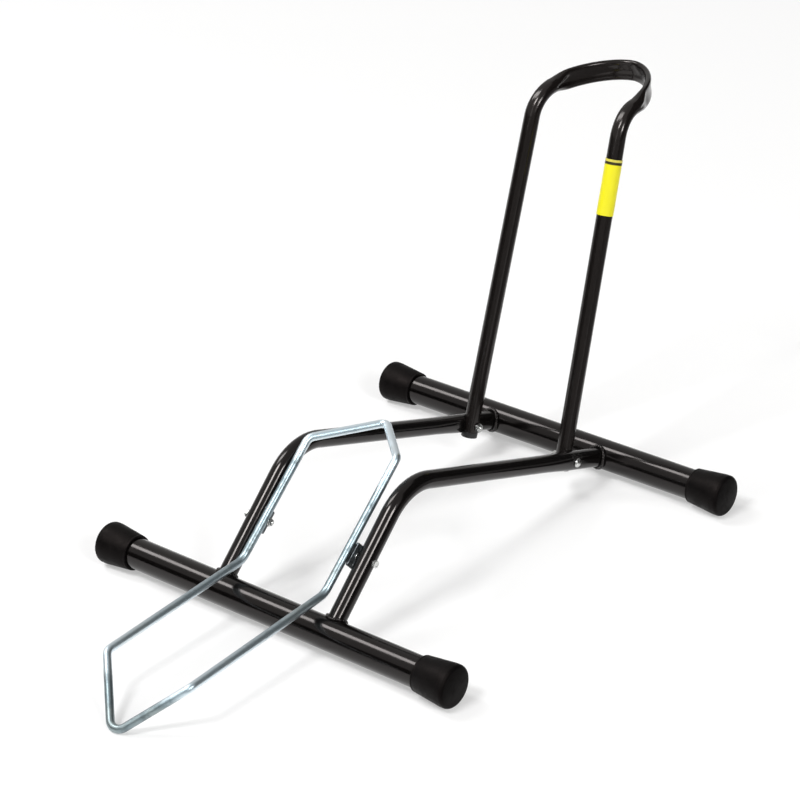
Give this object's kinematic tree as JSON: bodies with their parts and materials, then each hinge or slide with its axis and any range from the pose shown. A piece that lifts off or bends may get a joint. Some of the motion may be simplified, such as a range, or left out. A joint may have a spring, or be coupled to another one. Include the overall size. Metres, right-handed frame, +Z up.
{
  "type": "bike wheel stand",
  "caption": "Low floor stand for a bicycle wheel: base tubes with rubber caps, bent arms, a tall hoop and a wire cradle that tips back on pivots as the wheel rolls in.",
  "frame": {"origin": "on the floor under the middle of the stand, halfway from the cradle's front tip to the back of the hoop", "axes": "+X along the base tubes to the right, +Y from the cradle's tip towards the hoop, +Z up"},
  "size_m": [0.5398, 0.9781, 0.4767],
  "materials": {
    "black_gloss": "gloss",
    "black_rubber": "matte",
    "black_plastic": "matte",
    "zinc": "bright zinc plating",
    "yellow_label": "gloss film"
  },
  "bodies": {
    "stand": {"front_base_tube": "black_gloss", "rear_base_tube": "black_gloss", "front_left_cap": "black_rubber", "front_right_cap": "black_rubber", "rear_left_cap": "black_rubber", "rear_right_cap": "black_rubber", "left_arm": "black_gloss", "right_arm": "black_gloss", "front_left_weld": "black_gloss", "front_right_weld": "black_gloss", "rear_left_weld": "black_gloss", "rear_right_weld": "black_gloss", "hoop": "black_gloss", "left_leg_plug": "black_plastic", "right_leg_plug": "black_plastic", "left_hoop_bolt": "zinc", "right_hoop_bolt": "zinc", "left_hoop_nut": "zinc", "right_hoop_nut": "zinc", "left_pivot_bolt": "zinc", "right_pivot_bolt": "zinc", "left_pivot_nut": "zinc", "right_pivot_nut": "zinc", "left_pivot_spacer": "zinc", "right_pivot_spacer": "zinc", "leg_label": "yellow_label"},
    "cradle": {"cradle_wire": "zinc", "left_pivot_plate": "zinc", "right_pivot_plate": "zinc", "left_plate_weld": "zinc", "right_plate_weld": "zinc"}
  },
  "joints": [
    {"name": "cradle_tilt", "type": "hinge", "parent": "stand", "child": "cradle", "pos_m": [0, -0.1547, 0.09007], "axis": [-1, 0, 0], "range_deg": [0, 60]}
  ]
}
